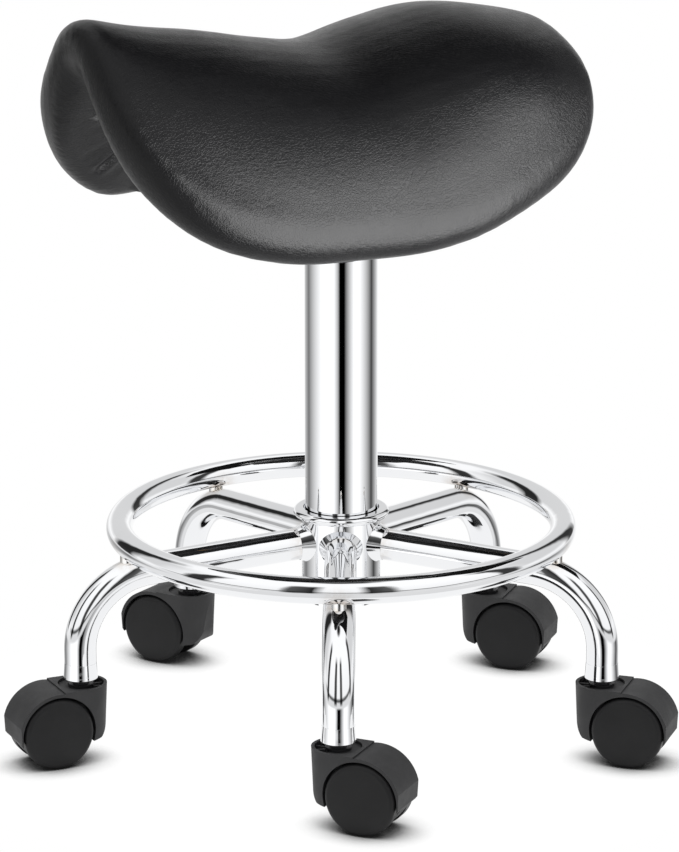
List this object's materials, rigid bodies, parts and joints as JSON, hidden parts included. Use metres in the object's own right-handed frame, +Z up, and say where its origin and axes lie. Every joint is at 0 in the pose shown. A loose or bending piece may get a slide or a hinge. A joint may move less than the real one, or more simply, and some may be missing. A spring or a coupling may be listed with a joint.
{
  "type": "adjustable swivel saddle stool",
  "caption": "Height-adjustable swivel stool with a black saddle-shaped padded seat on a chromed column, bent-tube legs, a footrest ring and twin-wheel casters.",
  "frame": {"origin": "on the floor, under the middle of the column", "axes": "+Z up along the column, leg 1 points along -Y; the seat's pommel points 26 degrees round from -X towards -Y"},
  "size_m": [0.4623, 0.4164, 0.5165],
  "materials": {
    "chrome": "polished chrome plate",
    "weld": "plated weld bead, slightly heat tinted",
    "steel": "zinc-plated steel",
    "dark_steel": "black powder coat",
    "leatherette": "satin black synthetic leather with a fine grain",
    "plywood": "bare bent plywood",
    "shell_black": "matte black moulding",
    "housing_black": "matte black moulded nylon",
    "wheel_black": "smooth satin black nylon",
    "nylon": "natural nylon",
    "rubber": "matte black rubber",
    "black_oxide": "blackened steel"
  },
  "bodies": {
    "base": {"hub": "chrome", "column_tube": "chrome", "column_end_plate": "steel", "guide_bush": "shell_black", "hub_welds": "weld", "stem_sockets": "shell_black", "footrest_ring": "chrome", "ring_studs": "weld", "lower_race": "steel", "leg_1": "chrome", "leg_2": "chrome", "leg_3": "chrome", "leg_4": "chrome", "leg_5": "chrome", "caster_1_stem": "steel", "caster_2_stem": "steel", "caster_3_stem": "steel", "caster_4_stem": "steel", "caster_5_stem": "steel"},
    "rod": {"piston_rod": "chrome", "piston": "nylon", "retaining_clip": "steel", "upper_race": "steel", "bearing_balls": "steel", "ball_cage": "nylon", "bump_stop": "rubber"},
    "seat": {"seat_cushion": "leatherette", "seat_shell": "shell_black", "mounting_block": "plywood", "threaded_inserts": "steel", "seat_bolts": "black_oxide", "seat_plate": "dark_steel", "taper_socket": "dark_steel", "lever_pivot": "steel", "gas_cylinder": "dark_steel", "rod_seal": "rubber"},
    "lever": {"release_lever": "dark_steel", "lever_grip": "housing_black"},
    "valve": {"valve_pin": "steel"},
    "caster_1": {"caster_1_housing": "housing_black", "caster_1_axle": "steel"},
    "wheel_1a": {"caster_1_wheel_a": "wheel_black"},
    "wheel_1b": {"caster_1_wheel_b": "wheel_black"},
    "caster_2": {"caster_2_housing": "housing_black", "caster_2_axle": "steel"},
    "wheel_2a": {"caster_2_wheel_a": "wheel_black"},
    "wheel_2b": {"caster_2_wheel_b": "wheel_black"},
    "caster_3": {"caster_3_housing": "housing_black", "caster_3_axle": "steel"},
    "wheel_3a": {"caster_3_wheel_a": "wheel_black"},
    "wheel_3b": {"caster_3_wheel_b": "wheel_black"},
    "caster_4": {"caster_4_housing": "housing_black", "caster_4_axle": "steel"},
    "wheel_4a": {"caster_4_wheel_a": "wheel_black"},
    "wheel_4b": {"caster_4_wheel_b": "wheel_black"},
    "caster_5": {"caster_5_housing": "housing_black", "caster_5_axle": "steel"},
    "wheel_5a": {"caster_5_wheel_a": "wheel_black"},
    "wheel_5b": {"caster_5_wheel_b": "wheel_black"}
  },
  "joints": [
    {"name": "seat_swivel", "type": "hinge", "parent": "base", "child": "rod", "pos_m": [0, 0, 0.11], "axis": [0, 0, 1], "continuous": true},
    {"name": "seat_height", "type": "slide", "parent": "rod", "child": "seat", "axis": [0, 0, 1], "range_m": [0, 0.12]},
    {"name": "release_lever_tilt", "type": "hinge", "parent": "seat", "child": "lever", "pos_m": [0.01254, 0.00622, 0.424], "axis": [0.4446, -0.8957, 0], "range_deg": [0, 8], "stiffness_Nm_per_rad": 1.5, "springref_deg": -8.59},
    {"name": "valve_press", "type": "slide", "parent": "seat", "child": "valve", "axis": [0, 0, 1], "range_m": [-0.002, 0]},
    {"name": "caster_1_swivel", "type": "hinge", "parent": "base", "child": "caster_1", "pos_m": [-0.00197, -0.18759, 0.055], "axis": [0, 0, 1], "continuous": true},
    {"name": "wheel_1a_spin", "type": "hinge", "parent": "caster_1", "child": "wheel_1a", "pos_m": [0.01835, -0.19655, 0.025], "axis": [-0.4035, -0.915, 0], "continuous": true},
    {"name": "wheel_1b_spin", "type": "hinge", "parent": "caster_1", "child": "wheel_1b", "pos_m": [0.01835, -0.19655, 0.025], "axis": [-0.4035, -0.915, 0], "continuous": true},
    {"name": "caster_2_swivel", "type": "hinge", "parent": "base", "child": "caster_2", "pos_m": [0.17842, -0.05797, 0.055], "axis": [0, 0, 1], "continuous": true},
    {"name": "wheel_2a_spin", "type": "hinge", "parent": "caster_2", "child": "wheel_2a", "pos_m": [0.1995, -0.06494, 0.025], "axis": [-0.314, -0.9494, 0], "continuous": true},
    {"name": "wheel_2b_spin", "type": "hinge", "parent": "caster_2", "child": "wheel_2b", "pos_m": [0.1995, -0.06494, 0.025], "axis": [-0.314, -0.9494, 0], "continuous": true},
    {"name": "caster_3_swivel", "type": "hinge", "parent": "base", "child": "caster_3", "pos_m": [0.10599, 0.15479, 0.055], "axis": [0, 0, 1], "continuous": true},
    {"name": "wheel_3a_spin", "type": "hinge", "parent": "caster_3", "child": "wheel_3a", "pos_m": [0.12685, 0.1472, 0.025], "axis": [-0.342, -0.9397, 0], "continuous": true},
    {"name": "wheel_3b_spin", "type": "hinge", "parent": "caster_3", "child": "wheel_3b", "pos_m": [0.12685, 0.1472, 0.025], "axis": [-0.342, -0.9397, 0], "continuous": true},
    {"name": "caster_4_swivel", "type": "hinge", "parent": "base", "child": "caster_4", "pos_m": [-0.11027, 0.15177, 0.055], "axis": [0, 0, 1], "continuous": true},
    {"name": "wheel_4a_spin", "type": "hinge", "parent": "caster_4", "child": "wheel_4a", "pos_m": [-0.12899, 0.1637, 0.025], "axis": [0.5373, 0.8434, 0], "continuous": true},
    {"name": "wheel_4b_spin", "type": "hinge", "parent": "caster_4", "child": "wheel_4b", "pos_m": [-0.12899, 0.1637, 0.025], "axis": [0.5373, 0.8434, 0], "continuous": true},
    {"name": "caster_5_swivel", "type": "hinge", "parent": "base", "child": "caster_5", "pos_m": [-0.17842, -0.05797, 0.055], "axis": [0, 0, 1], "continuous": true},
    {"name": "wheel_5a_spin", "type": "hinge", "parent": "caster_5", "child": "wheel_5a", "pos_m": [-0.1986, -0.06721, 0.025], "axis": [-0.4163, 0.9092, 0], "continuous": true},
    {"name": "wheel_5b_spin", "type": "hinge", "parent": "caster_5", "child": "wheel_5b", "pos_m": [-0.1986, -0.06721, 0.025], "axis": [-0.4163, 0.9092, 0], "continuous": true}
  ],
  "couplings": [
    {"joint": "valve_press", "follows": "release_lever_tilt", "m_per_rad": -0.014}
  ]
}
